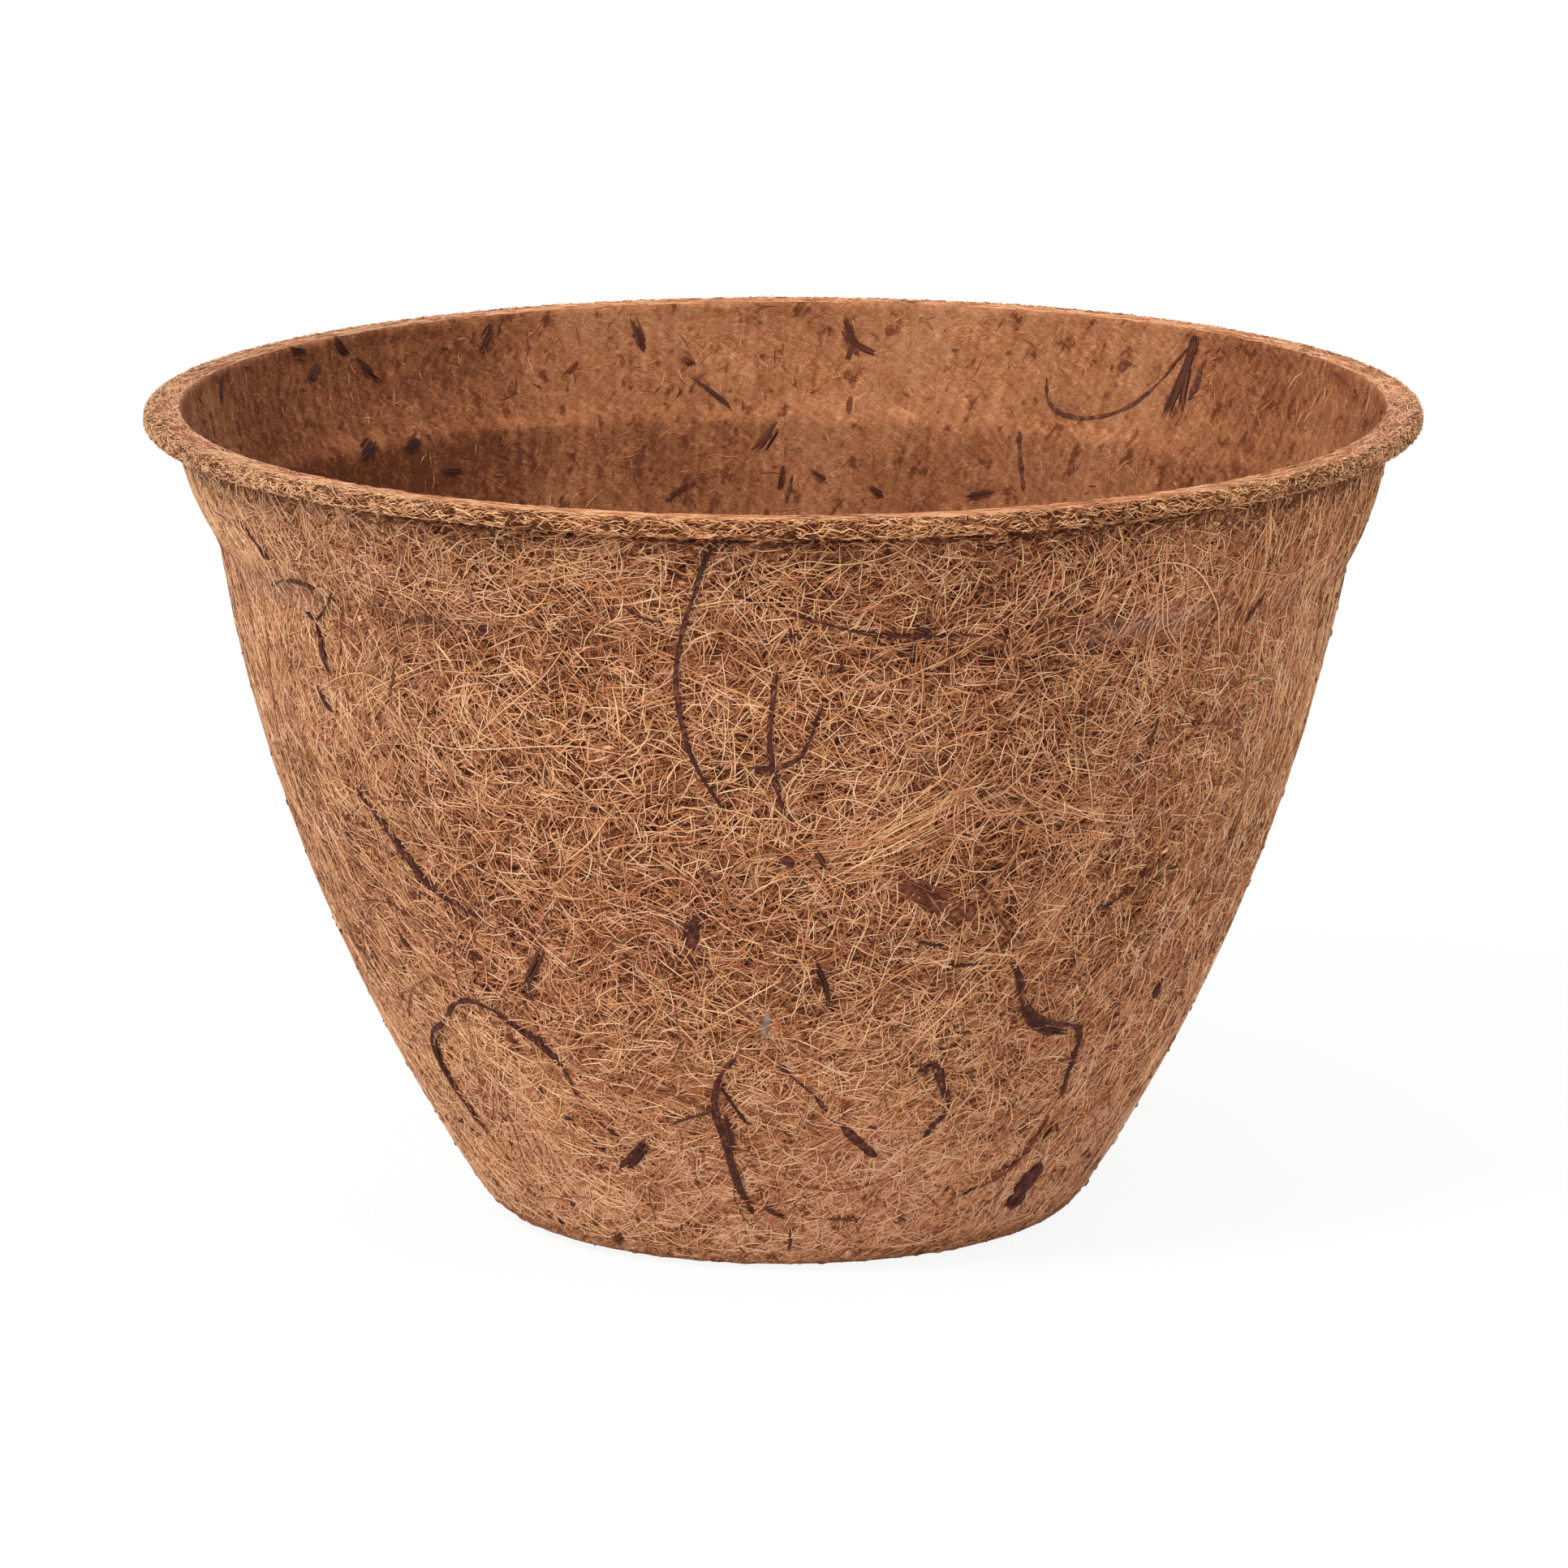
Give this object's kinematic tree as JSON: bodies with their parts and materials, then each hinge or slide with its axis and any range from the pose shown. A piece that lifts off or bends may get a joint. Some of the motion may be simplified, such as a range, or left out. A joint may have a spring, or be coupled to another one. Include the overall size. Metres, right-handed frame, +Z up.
{
  "type": "coir pot",
  "caption": "Round tapered plant pot pressed from coconut fibre felt, with a stepped collar, a flat rim and coarse husk strands caught in its faces.",
  "frame": {"origin": "middle of the underside, on the surface that the pot stands on", "axes": "+Z up along the pot's axis, -Y towards the side that the picture shows"},
  "size_m": [0.2, 0.2, 0.128],
  "materials": {
    "coir_felt": "pressed coconut fibre felt, matt and fibrous",
    "dark_husk": "dark coarse coconut husk, matt to satin",
    "red_husk": "red-brown coconut husk, matt",
    "grey_husk": "grey-brown weathered husk twig, matt"
  },
  "bodies": {
    "root": {"felt_shell": "coir_felt", "hanging_strand": "dark_husk", "side_twig": "dark_husk", "collar_strand": "dark_husk", "middle_strand": "dark_husk", "crossing_strand": "dark_husk", "bent_strand": "dark_husk", "trailing_strand": "dark_husk", "left_diagonal_strand": "dark_husk", "looped_strand": "dark_husk", "low_front_strand": "dark_husk", "low_diagonal_strand": "dark_husk", "right_twig": "dark_husk", "hooked_strand": "dark_husk", "foot_twig_left": "dark_husk", "foot_twig_middle": "dark_husk", "foot_twig_right": "dark_husk", "short_dark_strand": "dark_husk", "shoulder_strand": "dark_husk", "pressed_strand": "dark_husk", "forked_strand": "dark_husk", "left_sliver": "dark_husk", "red_strand": "red_husk", "right_sliver": "dark_husk", "oval_flake": "dark_husk", "rust_flake": "red_husk", "brown_flake": "red_husk", "two_lobed_flake": "dark_husk", "diagonal_flake": "dark_husk", "middle_flake": "dark_husk", "grey_twig": "grey_husk", "shoulder_flake": "dark_husk", "inner_hooked_strand": "dark_husk", "inner_dark_flake": "dark_husk", "inner_long_splinter": "dark_husk", "inner_back_splinter": "dark_husk", "inner_left_splinter": "dark_husk", "inner_far_left_splinter": "dark_husk", "inner_middle_splinter": "dark_husk", "inner_low_splinter": "dark_husk", "inner_lowest_splinter": "dark_husk", "back_hanging_strand": "dark_husk", "back_bent_strand": "dark_husk", "back_cross_strand": "dark_husk", "back_low_strand": "dark_husk", "back_diagonal_strand": "dark_husk", "back_oval_flake": "dark_husk", "back_rust_flake": "red_husk", "inner_near_strand": "dark_husk", "inner_near_flake": "dark_husk"}
  },
  "joints": []
}
